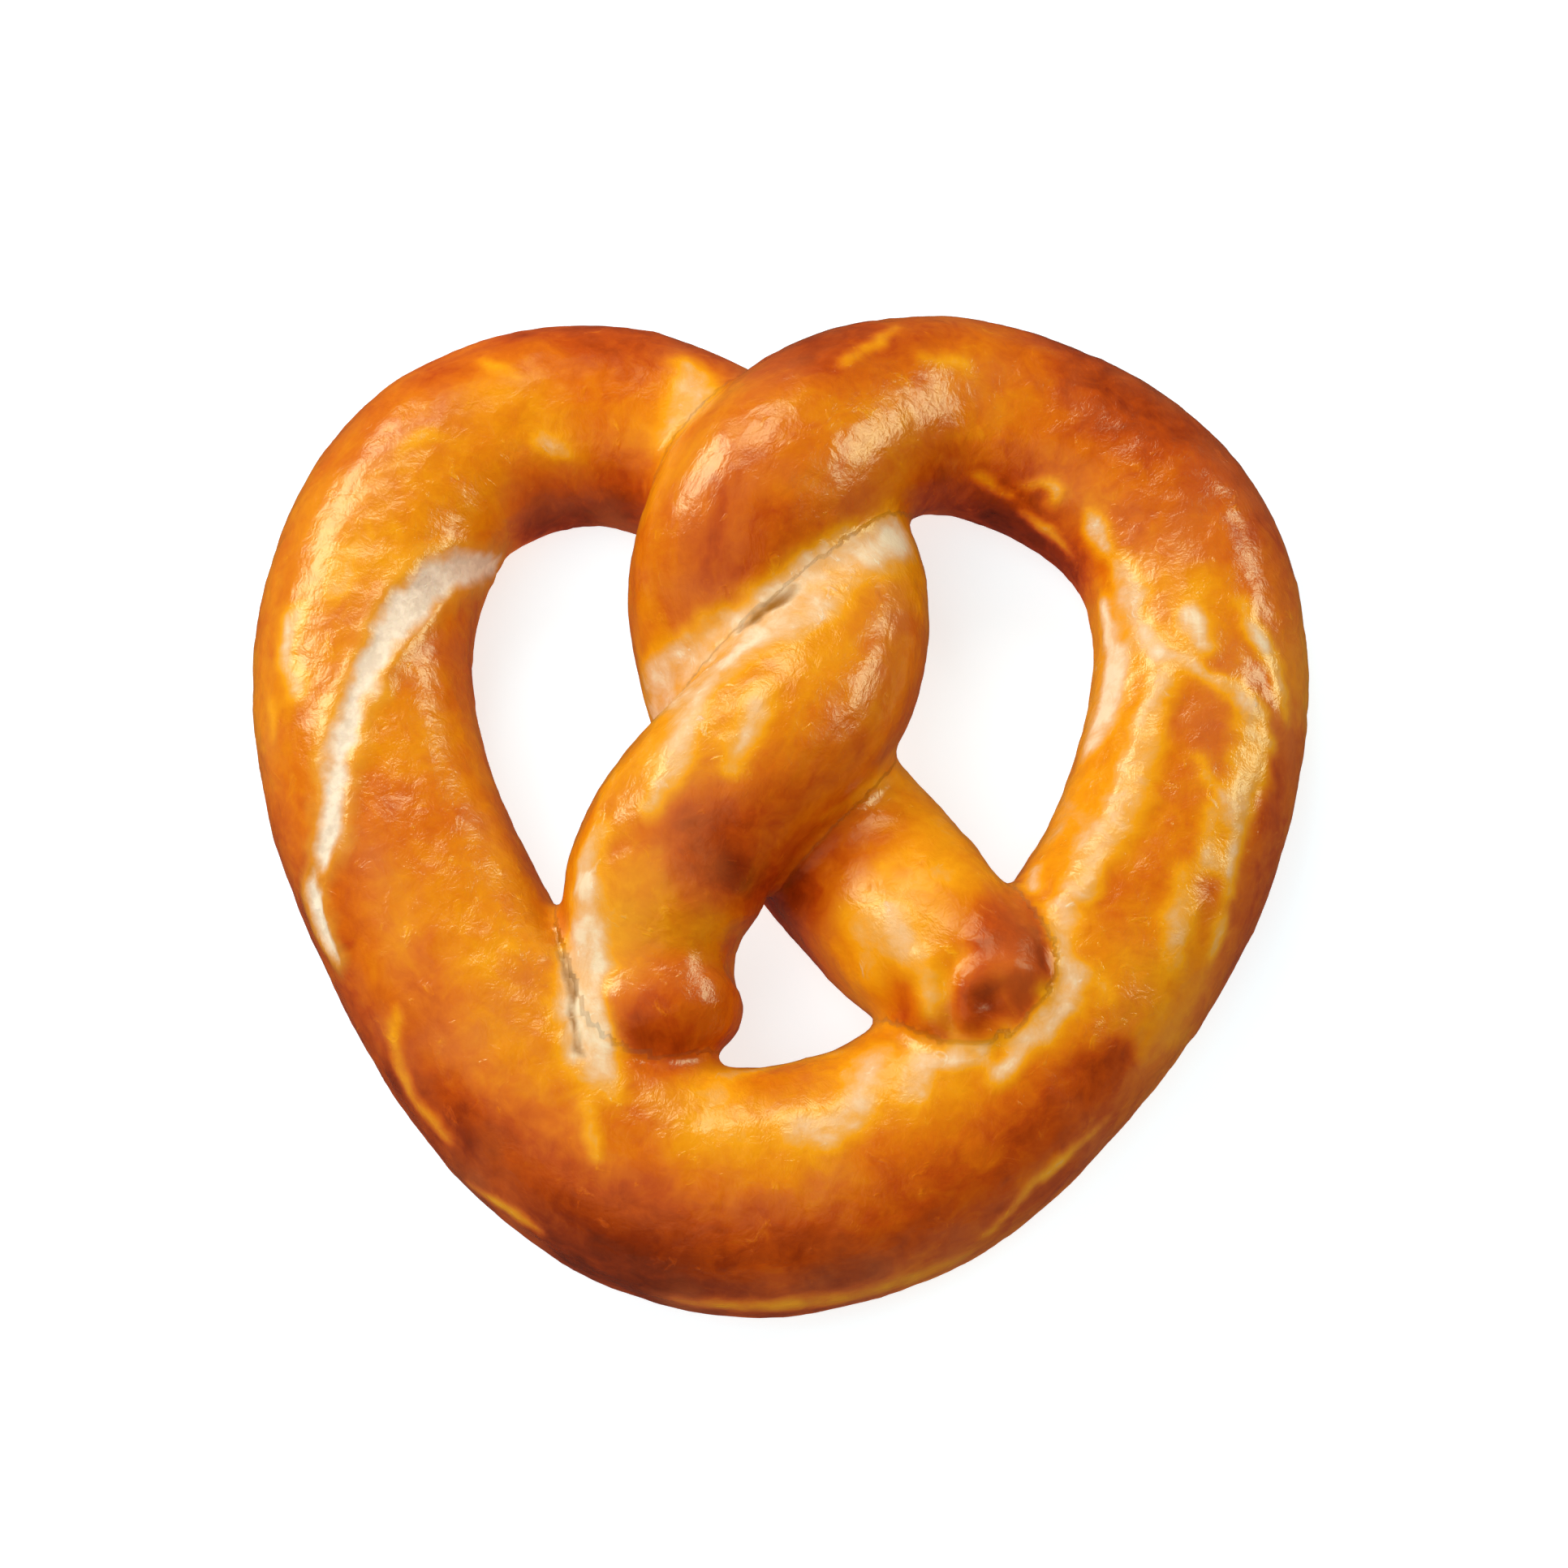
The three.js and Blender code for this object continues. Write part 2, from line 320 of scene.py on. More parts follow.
def ropeTree():
    tree = newTree("sweptRope", {
        "Line": "Geometry", "Plumpness": "Float", "Squareness": "Float", "Points Round": "Int",
        "Crust": "Material",
    }, "Rope")
    make = GeometryMaker(tree)
    given = make.node("NodeGroupInput")

    inputs = {"Resolution": given["Points Round"], "Radius": 1.0}
    circle = make.node("GeometryNodeCurvePrimitiveCircle", None, inputs)[0]
    spot = make.separated(make.position())
    power = 2.0 / given["Squareness"]
    across = spot["X"].sign() * abs(spot["X"]) ** power
    height = spot["Y"].sign() * abs(spot["Y"]) ** power * given["Plumpness"]
    section = make.moved(circle, Position=make.node("ShaderNodeCombineXYZ", None, (across, height))[0])

    rail = make.node("GeometryNodeMeshToCurve", None, {"Mesh": given["Line"]})[0]
    rail = make.node("GeometryNodeSetCurveNormal", {"mode": "Z_UP"}, {"Curve": rail})[0]
    inputs = {"Curve": rail, "Profile Curve": section, "Scale": make.named("halfWidth"), "Fill Caps": True}
    swept = make.node("GeometryNodeCurveToMesh", None, inputs)[0]

    spot = make.separated(make.position())  # nothing reaches below the tray
    seated = make.node("ShaderNodeCombineXYZ", None, (spot["X"], spot["Y"], spot["Z"].most(0.0)))[0]
    swept = make.finished(make.moved(swept, Position=seated), given["Crust"])
    make.node("NodeGroupOutput", None, {"Rope": swept})
    return tree


def sweepRope(surface):
    turns = np.linspace(rope["tipStart"], 1, rope["tipRings"]) * math.pi / 2
    tip = rope["tipLength"] * (1 - np.cos(turns))
    between = np.linspace(tip[-1], ropeLength - tip[-1], round(ropeLength / rope["ringSpacing"]))
    along = np.concatenate([tip[:-1], between, (ropeLength - tip[:-1])[::-1]])
    line = bpy.data.meshes.new("ropeLine")
    line.from_pydata((middleAt(along) * mm).tolist(), [(i, i + 1) for i in range(len(along) - 1)], [])
    setAttribute(line, "halfWidth", roundedHalfAt(along) * mm)
    piece = newPiece("ropeLine", line)
    runTree(piece, ropeTree(), {
        "Plumpness": rope["plumpness"], "Squareness": rope["squareness"],
        "Points Round": rope["pointsRound"], "Crust": surface,
    })
    return plainMesh(piece, "sweptRope")


def fuseRope(swept):  # where the rope lies on itself the two skins become one
    piece = newPiece("fusedRope", swept)
    fuse = piece.modifiers.new("fuse", "REMESH")
    fuse.mode = "VOXEL"
    fuse.voxel_size = rope["voxel"] * mm
    settle = piece.modifiers.new("settle", "SMOOTH")
    settle.factor = rope["smoothing"]
    settle.iterations = rope["smoothingRounds"]
    return plainMesh(piece, "crust")


# Marks that baking left, with painted shade and painted highlights among them, placed by mm along the rope
# and degrees round it.
# Brown runs from 0, cream, over 0.3, golden, to 1, mahogany; just below 0 it keeps a thin scratch pale.
marks = {
    "bakes": [  # along, degrees, reach in mm, brown
        # some of these are painted shade: the lobes' inner walls at 119, 130, 406, 420 and 434 mm, the dark
        # wedge by the left end at 252 mm and the strand coming out from under the crossing at 519 mm
        (1.5, 12, 4, 0.84), (2, -14, 6, 0.74), (3, 32, 4, 0.66), (7, -34, 6, 0.66),
        (13, -16, 5, 0.60), (14, 12, 5, 0.30), (18, -45, 6, 0.34), (19, 5, 6, 0.24),
        (24, 10, 6, 0.28), (31, -24, 8, 0.90), (36, -66, 8, 0.70), (40, 30, 7, 0.28),
        (46, -50, 8, 0.57), (48, -12, 6, 0.52), (54, 6, 6, 0.34), (62, -48, 8, 0.54),
        (64, -14, 5, 0.40), (73, -46, 6, 0.32), (112, 4, 6, 0.36), (119, 84, 9, 0.98),
        (120, -32, 10, 0.80), (126, 24, 8, 0.46), (130, 80, 7, 0.90), (134, -2, 6, 0.24),
        (142, -38, 8, 0.66), (148, 10, 8, 0.38), (152, -20, 7, 0.44), (158, 8, 6, 0.48),
        (162, -8, 7, 0.32), (170, -54, 10, 0.52), (178, 38, 10, 0.52), (182, -34, 8, 0.42),
        (191, 16, 6, 0.42), (194, -48, 9, 0.52), (200, 46, 10, 0.46), (203, 2, 7, 0.60),
        (208, -82, 12, 0.76), (214, 14, 8, 0.42), (216, -10, 7, 0.52), (224, 26, 9, 0.38),
        (229, -28, 6, 0.64), (236, -4, 7, 0.34), (237, 11, 7, 0.48), (238, -90, 12, 0.82),
        (245, -7, 5, 0.26), (246, -42, 9, 0.76), (252, 62, 6, 0.78), (258, -12, 7, 0.52),
        (262, -60, 12, 0.96), (268, 16, 8, 0.20), (270, -26, 7, 0.66), (274, 38, 5, 0.52),
        (276, 2, 6, 0.26), (282, -48, 10, 0.80), (283, -18, 6, 0.50), (290, 34, 7, 0.30),
        (293, -26, 7, 0.58), (298, 2, 6, 0.34), (304, -48, 10, 0.76), (312, 12, 7, 0.32),
        (322, -14, 7, 0.38), (332, -32, 7, 0.34), (336, 3, 8, 0.54), (344, 46, 8, 0.27),
        (346, -72, 12, 0.70), (348, -4, 7, 0.50), (360, 2, 7, 0.56), (362, -58, 8, 0.70),
        (366, 64, 8, 0.26), (369, -54, 8, 0.26), (376, -30, 8, 0.62), (380, 12, 7, 0.36),
        (392, -2, 8, 0.58), (394, -44, 10, 0.74), (404, 28, 7, 0.46), (406, 92, 9, 0.94),
        (414, -30, 10, 0.84), (419, 46, 5, 0.78), (420, 88, 9, 0.94), (420, 2, 8, 0.42),
        (430, 22, 7, 0.44), (432, -20, 8, 0.60), (434, 70, 8, 0.78), (444, 20, 8, 0.42),
        (446, -44, 9, 0.78), (456, 2, 7, 0.50), (462, -52, 8, 0.38), (464, 34, 6, 0.62),
        (469, -4, 7, 0.74), (474, -44, 6, 0.50), (477, -18, 4, 0.72), (514, 46, 7, 0.32),
        (519, -60, 9, 0.92), (522, 10, 5, 0.60), (523, -18, 5, 0.62), (530, 50, 7, 0.27),
        (532, -50, 7, 0.20), (536, 2, 8, 0.32), (544, -54, 5, 0.66), (546, 40, 6, 0.82),
    ],
    "strokes": [  # brown, rise in mm, softness in mm, then along, degrees and half width in mm
        # the seam where the strands cross
        (0.08, 0.0, 3.2, [
            (487, -73, 2.5), (484, -49, 2.8), (481, -20, 2.4), (477, 14, 2.1), (470, 54, 1.6),
            (463, 71, 1.2),
        ]),
        (0.10, 0.1, 3.0, [
            (43, 67, 1.8), (49, 54, 2.6), (57, 38, 2.8), (64, 14, 3.0), (71, -6, 2.6), (77, -44, 1.9),
        ]),
        (0.00, 0.1, 1.4, [(49, 52, 0.6), (55, 40, 0.9)]),
        (0.00, 0.1, 1.4, [(72, -18, 0.6), (76, -42, 1.0)]),
        (0.30, -0.3, 0.6, [(484, -16, 0.2), (482, -8, 0.4)]),
        (0.30, -0.3, 0.6, [(480, 0, 0.3), (478, 8, 0.2)]),
        # the left end and its strand
        # pale streaks on the left strand, partly painted highlights
        (0.10, 0.3, 1.6, [(46, 44, 0.6), (41, 29, 1.5), (37, 17, 1.6), (32, 14, 0.8)]),
        (0.14, 0.2, 1.6, [(49, 10, 0.7), (45, 2, 1.3), (41, -4, 0.9)]),
        (0.10, 0.2, 0.8, [(33, 56, 0.4), (27, 46, 0.5), (23, 52, 0.4)]),
        (0.52, -0.5, 1.2, [(22, 62, 0.4), (24, 38, 0.6), (28, 14, 0.3)]),
        (0.50, -1.1, 3.0, [(14, -52, 0.8), (14, -80, 1.6)]),
        (0.02, 0.2, 2.0, [
            (27, 40, 0.8), (20, 45, 1.9), (14, 48, 2.7), (8, 54, 2.9), (3, 62, 2.6), (0.5, 64, 2.0),
        ]),
        (0.07, 0.0, 2.0, [(231, 46, 0.8), (237, 31, 1.5), (242, 21, 2.2), (247, 14, 2.4), (251, 10, 0.8)]),
        (0.12, 0.3, 1.0, [(249, 0, 0.4), (251, -4, 0.8), (254, -15, 0.5)]),
        # the left lobe and arm
        (0.17, 0.1, 2.0, [(112, -27, 0.8), (109, -16, 2.0), (108, -2, 2.4), (109, 14, 1.6)]),
        (0.0, 0.3, 0.6, [(134, -31, 0.3), (133, -20, 0.6), (131, -12, 0.3)]),
        (0.0, 0.3, 0.6, [(149, -8, 0.3), (145, -3, 0.6), (142, 11, 0.3)]),
        (0.16, 0.2, 1.1, [(131, 22, 0.6), (127, 36, 0.9)]),
        (0.02, 0.2, 0.7, [(164, -8, 0.3), (168, -5, 0.5), (170, -11, 0.5), (166, -15, 0.3)]),
        (0.06, 0.2, 1.4, [(172, -29, 0.7), (175, -34, 1.1), (179, -34, 0.8), (182, -28, 1.3)]),
        (0.10, 0.1, 0.8, [(182, -49, 0.4), (186, -51, 0.4)]),
        (0.14, 0.2, 1.2, [(225, -42, 0.4), (231, -64, 0.7), (239, -64, 0.4)]),
        # the belly
        # a painted highlight on the belly's crown
        (0.12, 0.1, 2.2, [(278, 12, 1.0), (284, 9, 1.6), (289, 22, 1.5), (293, 36, 1.2)]),
        (0.14, 0.1, 0.9, [(265, 46, 0.4), (272, 58, 0.6), (281, 66, 0.6), (291, 59, 0.4)]),
        (0.10, 0.3, 0.7, [(295, -74, 0.3), (301, -63, 0.7), (306, -62, 0.7), (312, -68, 0.3)]),
        (0.40, 0.1, 1.6, [(266, -84, 0.8), (276, -80, 1.5), (286, -83, 1.4), (292, -86, 0.6)]),
        (0.16, 0.1, 1.0, [(243, -84, 0.5), (248, -76, 0.8), (252, -73, 0.4)]),
        (0.75, 0.0, 1.6, [(303, -40, 2.0), (310, -40, 3.8), (317, -42, 2.6)]),
        (0.62, 0.3, 0.8, [(281, -34, 0.3), (286, -40, 0.5), (292, -38, 0.3)]),
        # torn round the right end
        (0.06, 0.3, 1.1, [(321, 9, 0.9), (322, 1, 1.6), (319, -3, 2.0), (315, -3, 1.8), (312, -6, 1.2)]),
        (0.12, 0.2, 1.0, [(323, -10, 0.4), (322, -17, 0.7)]),
        (0.06, 0.3, 1.0, [(311, -1, 0.9), (308, -3, 1.7), (305, -6, 1.1)]),
        (0.09, 0.3, 1.0, [(307, 4, 1.0), (304, 9, 1.7), (301, 14, 1.2)]),
        (0.11, 0.1, 1.6, [(299, 20, 0.8), (297, 14, 1.5), (294, 10, 0.8)]),
        (0.12, 0.2, 1.6, [(332, 16, 0.9), (329, 21, 1.7), (325, 14, 1.2), (321, 8, 0.7)]),
        (0.10, 0.1, 1.0, [(333, 56, 0.7), (330, 47, 1.2)]),
        (0.70, -0.5, 0.6, [(308, 3, 0.5), (307, 0, 0.5)]),
        (0.62, -0.5, 0.6, [(305, 7, 0.5), (304, 9, 0.4)]),
        # the right arm and lobe
        # a raised pale ridge, its paleness partly a painted highlight
        (0.13, 0.8, 2.2, [(366, 19, 0.9), (356, 24, 2.0), (347, 21, 2.2), (338, 24, 2.1), (331, 22, 1.2)]),
        # painted sheen on the arm's outer flank
        (0.16, 0.2, 1.8, [(364, -22, 1.1), (357, -28, 2.3), (350, -31, 1.0)]),
        (0.07, 0.4, 1.0, [
            (356, -2, 0.4), (354, -8, 0.8), (351, -24, 0.8), (347, -33, 0.9), (342, -40, 0.9),
            (335, -53, 0.6),
        ]),
        # more painted sheen on the outer flank, in this stroke and the next
        (0.17, 0.2, 1.2, [(350, -15, 0.9), (344, -24, 1.6)]),
        (0.17, 0.2, 1.4, [(341, -16, 1.2), (336, -24, 1.8), (331, -33, 1.3)]),
        (0.04, 0.4, 1.1, [(371, 12, 0.4), (368, 2, 1.0), (365, -22, 1.3), (361, -40, 0.7)]),
        (0.07, 0.3, 1.0, [(378, -16, 0.5), (375, -22, 1.1), (370, -37, 1.1), (365, -48, 0.4)]),
        (0.60, -0.3, 0.9, [(374, -10, 0.2), (371, -21, 0.5), (366, -35, 0.4)]),
        (0.02, 0.3, 1.1, [(378, 9, 0.7), (375, 5, 1.4), (372, 1, 1.0)]),
        (0.00, 0.2, 1.4, [(382, 64, 1.2), (374, 56, 1.7), (367, 50, 1.8), (360, 53, 1.5), (355, 62, 0.8)]),
        (0.04, 0.3, 1.2, [(401, 38, 0.8), (397, 45, 1.6), (393, 47, 1.0)]),
        (0.06, 0.3, 1.2, [(389, 42, 1.2), (383, 40, 2.1), (377, 38, 1.7), (372, 26, 1.2), (370, 17, 0.8)]),
        (-0.04, 0.3, 0.5, [(415, 50, 0.3), (413, 39, 0.6), (409, 38, 0.8), (410, 54, 0.3)]),
        (-0.04, 0.3, 0.6, [(425, 52, 0.3), (421, 61, 0.6), (417, 60, 0.3)]),
        (0.08, 0.2, 0.8, [(413, 66, 0.4), (406, 72, 0.7), (400, 74, 0.3)]),
        (0.0, 0.3, 0.6, [(447, -14, 0.3), (441, -22, 0.6), (437, -36, 0.3)]),
        (0.22, 0.1, 1.6, [(436, -8, 0.6), (431, -6, 0.8)]),
        # the right strand where it comes out
        (0.18, 0.1, 0.8, [(45, -80, 0.4), (51, -88, 0.6), (57, -95, 0.4)]),
        (0.28, 0.1, 1.0, [(531, -7, 0.5), (529, -1, 0.6)]),
        # a painted highlight on the strand
        (0.12, 0.3, 1.8, [(534, -14, 0.9), (537, -21, 1.5), (540, -26, 1.1)]),
    ],
    "tipStrokes": [  # the same on the coiled right end, but placed by x and y
        (0.66, 1.0, 1.6, [(17.6, -33.2, 1.0), (18.2, -35.8, 2.0), (21.0, -38.0, 2.0), (24.8, -39.2, 1.2)]),
        # a painted highlight on the coil's outer ring
        (0.17, 0.6, 1.6, [(18.4, -27.4, 0.7), (19.3, -30.2, 1.4), (19.8, -32.8, 1.0)]),
        (0.80, 0.2, 2.2, [(26.4, -26.0, 0.8), (29.6, -25.0, 1.3), (33.0, -26.8, 0.8)]),
        (0.27, -1.3, 1.1, [
            (23.6, -26.6, 0.3), (21.4, -29.6, 0.5), (21.5, -33.4, 0.5), (22.6, -37.0, 0.5),
            (25.0, -38.6, 0.6),
        ]),
        (0.44, 0.0, 1.6, [(24.6, -37.8, 0.8), (28.6, -37.4, 1.2)]),
        (0.72, 0.0, 2.4, [(25.0, -33.4, 2.0), (29.2, -30.6, 2.2)]),
        (0.70, 0.9, 1.2, [
            (23.6, -35.0, 0.7), (23.9, -31.6, 0.9), (26.4, -29.2, 1.0), (29.8, -28.4, 0.9),
            (33.0, -29.4, 0.6),
        ]),
        (0.90, -1.3, 2.0, [(25.4, -32.4, 0.6), (27.2, -33.0, 1.0)]),
        (0.72, -0.3, 1.2, [(28.4, -31.8, 0.7), (30.8, -34.0, 0.8), (31.0, -36.4, 0.6)]),
        (0.44, 0.4, 0.8, [(26.4, -37.2, 0.3), (28.8, -36.0, 0.4)]),
        (0.20, 0.0, 1.4, [(33.6, -30.8, 0.6), (34.2, -33.4, 0.8)]),
    ],
    "bursts": [  # splits down to the pale crumb: along, degrees and half width in mm
        [
            (154, 88, 1.2), (157, 74, 1.7), (161, 52, 2.1), (165, 36, 2.4), (170, 25, 2.4), (176, 13, 1.9),
            (183, 2, 1.6), (190, -9, 1.6), (196, -20, 1.3), (200, -27, 1.4), (202, -34, 1.3),
            (204, -42, 0.4),
        ],
        [(204, -49, 0.5), (206, -56, 1.1), (209, -60, 1.1), (212, -61, 0.7), (214, -61, 0.2)],
    ],
    "dull": [  # where the glaze is thin: along, degrees, reach in mm and share
        (1, -6, 4, 0.9), (110, -16, 9, 0.8), (122, -22, 10, 0.9), (135, -32, 9, 0.9),
        (266, 48, 6, 0.9), (291, 32, 5, 0.7), (527, 8, 6, 0.9), (536, 24, 6, 0.8),
        (549, 10, 8, 0.7),
    ],
    # creases sunk into the crust, which the material also paints with shade
    "creases": [
        [(58, 56, 0.15), (61, 45, 0.6), (64, 32, 0.65), (67, 18, 0.15)],
        [(227, 50, 0.05), (233, 40, 0.15), (239, 26, 0.2), (244, 13, 0.1)],
    ],
    "plain": {"weight": 0.12, "brown": 0.48},  # the crust between the bakes
    "dullFullness": 1.3,
    "trackSpans": 8,
    "trackStep": 0.4,
    "wobble": 0.9,  # how far the marks' edges stray, in mm
    "wobbleScale": 0.4,
    "wobbleSeed": 7,
    "patchiness": (0.95, 0.4, 0.5),  # mean strength of the strokes, its swing and its noise scale
    "strokeEdge": (-1.0, 1.3),  # where a stroke starts to fade and, in softnesses, where it ends
    "strokeReach": 50,  # mm along the rope past which a stroke stops at the strand's side
    "seamReach": 2.4,  # unless the strands lie this close
    "widestGap": 20,
    "tipStretch": 26,
    "tipHeight": 16,
    "tipWobble": 0.3,
}


def evenTrack(track):
    return evenly(throughPoints(track, marks["trackSpans"]), marks["trackStep"])


def trackPoints(track):
    track = evenTrack(track)
    return crustPoint(track[:, 0], track[:, 1]), track[:, 2]


def distanceOutside(points, line, half, most=9.0):  # mm outside the track's edge, negative inside it
    outside = np.full(len(points), most)
    near = np.flatnonzero(((points > line.min(0) - most) & (points < line.max(0) + most)).all(1))
    gaps = np.linalg.norm(points[near][:, None] - line[None], axis=2) - half[None]
    outside[near] = np.minimum(most, gaps.min(1))
    return outside


class Strands:  # which stretch of the rope each point belongs to, and how close the next one lies
    stopSpacing = 1.0
    overlap = 0.8  # how far ahead of a stop a point still belongs to it
    elsewhere = 45  # mm along the rope past which another stretch begins
    batch = 6000
    never = 999

    def __init__(self, points):
        self.stops = np.arange(self.stopSpacing / 2, ropeLength, self.stopSpacing)
        self.middle, self.left, self.upward = sectionAt(self.stops)
        self.half = roundedHalfAt(self.stops)
        parts = np.array_split(points, max(1, len(points) // self.batch))
        self.along, self.degrees, self.gap = np.vstack([self.sort(part) for part in parts]).T

    def sort(self, points):
        reach = np.linalg.norm(points[:, None] - self.middle[None], axis=2)
        first = reach.argmin(1)
        apart = np.abs(self.stops[None] - self.stops[first][:, None]) > self.elsewhere
        second = np.where(apart, reach, self.never).argmin(1)
        fromFirst = self.around(points, first)
        fromSecond = self.around(points, second)
        swap = fromSecond[:, 2] < fromFirst[:, 2]
        own = np.where(swap[:, None], fromSecond, fromFirst)
        return np.column_stack([own[:, :2], np.where(swap, fromFirst[:, 2], fromSecond[:, 2])])

    def around(self, points, stop):  # mm along, degrees round and mm out from the skin
        offset = points - self.middle[stop]
        across = (offset * self.left[stop]).sum(1)
        height = (offset * self.upward[stop]).sum(1) / rope["plumpness"]
        ahead = (offset * np.cross(self.left[stop], self.upward[stop])).sum(1)
        power = rope["squareness"]
        out = (np.abs(across) ** power + np.abs(height) ** power) ** (1 / power) - self.half[stop]
        past = np.maximum(np.abs(ahead) - self.overlap, 0)
        out = np.where(past > 0, np.hypot(np.maximum(out, 0), past), out)
        return np.column_stack([self.stops[stop] + ahead, np.degrees(np.arctan2(across, height)), out])

    def patch(self, along, degrees, reach):  # 1 in the middle of a round patch, fading past its reach
        around = np.radians(self.degrees - degrees) * halfWidthAt(along)
        return np.exp(-((self.along - along) ** 2 + around**2) / reach**2)


def browningAndShadeOf(strands):
    plain = marks["plain"]
    weights = np.full(len(strands.along), plain["weight"])
    browning = weights * plain["brown"]
    for along, degrees, reach, brown in marks["bakes"]:
        weight = strands.patch(along, degrees, reach)
        weights = weights + weight
        browning = browning + weight * brown
    return browning / weights


def dullnessOf(strands):
    dull = np.zeros(len(strands.along))
    for along, degrees, reach, share in marks["dull"]:
        covered = np.minimum(1, marks["dullFullness"] * strands.patch(along, degrees, reach))
        dull = np.maximum(dull, share * covered)
    return dull


def measureCrust(mesh):
    points = np.empty(len(mesh.vertices) * 3, np.float32)
    mesh.vertices.foreach_get("co", points)
    points = points.reshape(-1, 3).astype(float) / mm
    strands = Strands(points)
    noise.seed_set(marks["wobbleSeed"])
    wander = [noise.noise_vector(Vector(point) * marks["wobbleScale"]) for point in points]
    strayed = points + marks["wobble"] * np.array(wander)
    mean, swing, scale = marks["patchiness"]
    patchy = np.clip([mean + swing * noise.noise(Vector(point) * scale) for point in points], 0, 1)

    browning = browningAndShadeOf(strands)
    rise = np.zeros(len(points))
    inner, outer = marks["strokeEdge"]

    def paint(brown, height, softness, outside, where):
        share = (1 - ease(outside, inner, outer * softness)) * patchy * where
        return browning + (brown - browning) * share, rise + height * share

    for brown, height, softness, track in marks["strokes"]:
        sameStrand = np.abs(strands.along - track[0][0]) < marks["strokeReach"]
        where = sameStrand | (strands.gap < marks["seamReach"])
        outside = distanceOutside(strayed, *trackPoints(track))
        browning, rise = paint(brown, height, softness, outside, where)
    tipStart = ropeLength - marks["tipStretch"]
    atTip = (strands.along > tipStart) & (points[:, 2] > marks["tipHeight"])
    flat = (points + marks["tipWobble"] * (strayed - points)) * (1, 1, 0)
    for brown, height, softness, track in marks["tipStrokes"]:
        track = evenTrack(track)
        outside = distanceOutside(flat, track * (1, 1, 0), track[:, 2])
        browning, rise = paint(brown, height, softness, outside, atTip)

    setAttribute(mesh, "browning", browning)
    setAttribute(mesh, "rise", rise)
    setAttribute(mesh, "dull", dullnessOf(strands))
    setAttribute(mesh, "strandGap", np.minimum(strands.gap, marks["widestGap"]))
    around = np.radians(strands.degrees) * halfWidthAt(strands.along)
    ropePlace = np.column_stack([strands.along, around, np.zeros(len(around))]) * mm
    setAttribute(mesh, "ropePlace", ropePlace, "FLOAT_VECTOR")
    for kind in ("bursts", "creases"):
        outside = [distanceOutside(strayed, *trackPoints(track)) for track in marks[kind]]
        setAttribute(mesh, kind, np.min(outside, axis=0))


relief = {  # heights and reaches in mm, noise scales per metre
    "burstDepth": 0.35,
    "burstPit": (-1.6, 0.3),  # the burst's floor and the top of its wall, from its edge
    "burstRag": 1.2,
    "crumbRoughness": 0.4,
    "lipHeight": 0.3,
    "lipRise": (-0.2, 0.7),
    "lipFall": (0.7, 3.2),
    "creaseDepth": 0.3,
    "creaseEdge": (-0.3, 1.2),
    "riseRounds": 3,  # how often the strokes' rise and their browning are blurred
    "browningRounds": 1,
    "unevenness": 0.8,
    "wrinkles": 0.6,
    "crinkles": 0.28,
    "underside": (0.0005, 0.004),  # heights in m over which the relief begins
    "fusingRounds": 22,  # how far the strands melt together along their seams
    "fusingReach": (0.4, 3.2),
    "fusingHeight": (0.014, 0.019),  # heights in m, as the seams under the rope stay sharp
    "patterns": {
        "rag": {"Scale": 420},
        "crumb": {"Scale": 700, "Roughness": 0.6},
        "unevenness": {"Scale": 45, "Detail": 1},
        "wrinkles": {"Scale": 150, "Distortion": 0.6},
        "crinkles": {"Scale": 380, "Distortion": 0.4},
    },
}


def reliefTree():
    tree = newTree("crustRelief", {
        "Crust": "Geometry", "Burst Depth": "Float", "Lip Height": "Float", "Crease Depth": "Float",
        "Unevenness": "Float", "Wrinkles": "Float", "Crinkles": "Float", "Fusing": "Int",
        "Surface": "Material",
    }, "Crust")
    make = GeometryMaker(tree)
    given = make.node("NodeGroupInput")
    place = make.position()
    ropePlace = make.named("ropePlace", "FLOAT_VECTOR")
    height = make.separated(place)["Z"]

    def pattern(name, vector=place):  # from -0.5 to 0.5
        return make.noise(vector, relief["patterns"][name]) - 0.5

    burst = make.named("bursts") + pattern("rag") * relief["burstRag"]
    pit = 1.0 - burst.fade(*relief["burstPit"])
    lip = burst.fade(*relief["lipRise"]) * (1.0 - burst.fade(*relief["lipFall"]))
    crease = 1.0 - make.named("creases").fade(*relief["creaseEdge"])
    rise = pit * (pattern("crumb") * relief["crumbRoughness"] - given["Burst Depth"])
    rise = rise + lip * given["Lip Height"] + make.blurred(make.named("rise"), relief["riseRounds"])
    rise = rise - crease * given["Crease Depth"]
    rise = rise + pattern("unevenness") * given["Unevenness"]
    rise = rise + pattern("wrinkles", ropePlace) * given["Wrinkles"]
    rise = rise + pattern("crinkles") * given["Crinkles"]
    rise = rise * height.fade(*relief["underside"]) * mm

    nearby = 1.0 - make.named("strandGap").fade(*relief["fusingReach"])
    fused = nearby * height.fade(*relief["fusingHeight"])
    settled = make.blurred(place, given["Fusing"], "FLOAT_VECTOR", Weight=fused)
    raised = make.moved(given["Crust"], Position=settled)
    browning = make.blurred(make.named("browning"), relief["browningRounds"])
    inputs = {"Geometry": raised, "Name": "browning", "Value": browning}
    raised = make.node("GeometryNodeStoreNamedAttribute", {"domain": "POINT"}, inputs)[0]
    normal = make.node("GeometryNodeInputNormal")[0]
    raised = make.moved(raised, Offset=make.scaled(normal, rise))
    make.node("NodeGroupOutput", None, {"Crust": make.finished(raised, given["Surface"])})
    return tree


